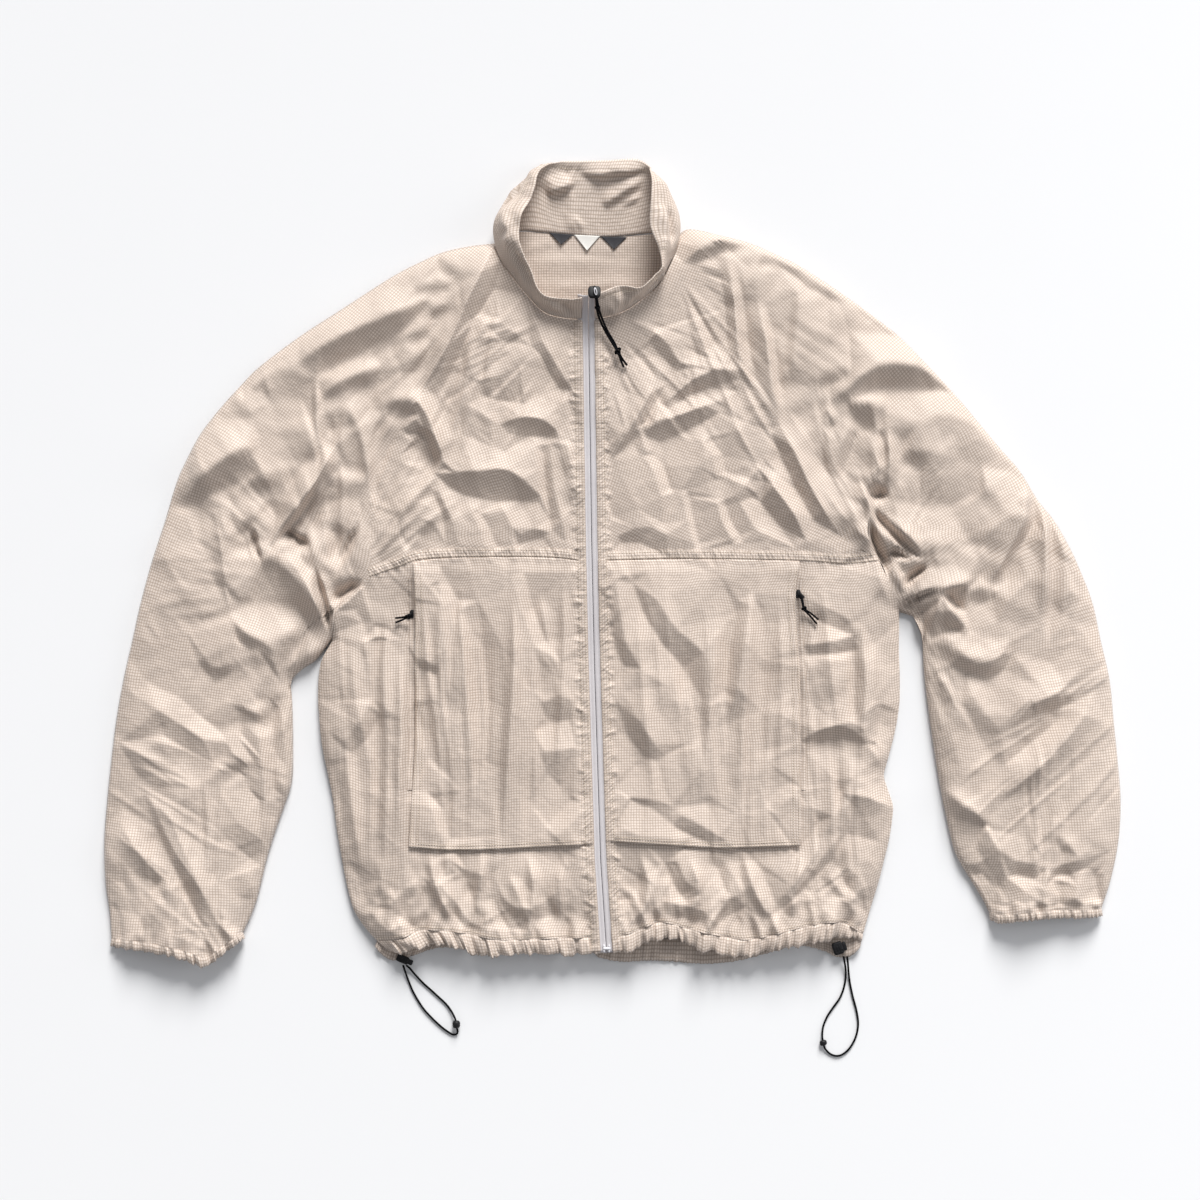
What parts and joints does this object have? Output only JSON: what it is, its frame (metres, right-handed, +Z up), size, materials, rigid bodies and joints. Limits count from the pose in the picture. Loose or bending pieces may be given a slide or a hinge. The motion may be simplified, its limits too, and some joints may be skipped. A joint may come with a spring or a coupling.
{
  "type": "windbreaker jacket",
  "caption": "Loose stand-collar windbreaker laid flat on its back, with raglan sleeves, overlay front pockets, a full-length zip, elastic cuffs and a drawcord hem with side loops.",
  "frame": {"origin": "on the flat underside of the back panel, about its middle, on the surface that the jacket lies on", "axes": "+Z up out of the surface, +Y towards the collar, +X to the right as seen from above, which is towards the wearer's left sleeve"},
  "size_m": [1.0161, 0.8988, 0.047],
  "materials": {
    "ripstop": "thin crinkled nylon with a fine check, slight sheen",
    "ripstop_double": "the same cloth in two layers",
    "zip_tape": "smooth woven tape, pale lilac grey",
    "zip_coil": "grey coil",
    "pale_plastic": "pale grey",
    "black_plastic": "black, satin",
    "black_cord": "black braided cord",
    "label_light": "plain woven label, off-white",
    "label_dark": "plain woven label, dark grey"
  },
  "bodies": {
    "jacket": {"back": "ripstop", "front_yoke_left": "ripstop", "front_yoke_right": "ripstop", "front_lower_left": "ripstop", "front_lower_right": "ripstop", "pocket_left": "ripstop", "pocket_right": "ripstop", "sleeve_front_left": "ripstop", "sleeve_front_right": "ripstop", "sleeve_back_left": "ripstop", "sleeve_back_right": "ripstop", "cuff_left": "ripstop_double", "cuff_right": "ripstop_double", "hem_front_left": "ripstop_double", "hem_front_right": "ripstop_double", "hem_back": "ripstop", "collar": "ripstop_double", "zip_tape_left": "zip_tape", "zip_tape_right": "zip_tape", "zip_coil": "zip_coil", "zip_bottom_stop": "pale_plastic", "zip_slider": "black_plastic", "pocket_zip_left": "zip_tape", "pocket_zip_right": "zip_tape", "pocket_slider_left": "black_plastic", "pocket_slider_right": "black_plastic", "pocket_pull_left": "black_cord", "pocket_pull_right": "black_cord", "cord_lock_left": "black_plastic", "cord_lock_right": "black_plastic", "drawcord_left_a": "black_cord", "drawcord_left_b": "black_cord", "drawcord_right_a": "black_cord", "drawcord_right_b": "black_cord", "bead_left": "black_plastic", "bead_right": "black_plastic", "label_centre": "label_light", "label_left": "label_dark", "label_right": "label_dark"},
    "zip_pull": {"zip_pull_tab": "pale_plastic", "zip_pull_cord": "black_cord"}
  },
  "joints": [
    {"name": "zip_pull_turn", "type": "hinge", "parent": "jacket", "child": "zip_pull", "pos_m": [-0.0056, 0.3086, 0.0462], "axis": [-1, 0, 0], "range_deg": [0, 165]}
  ]
}
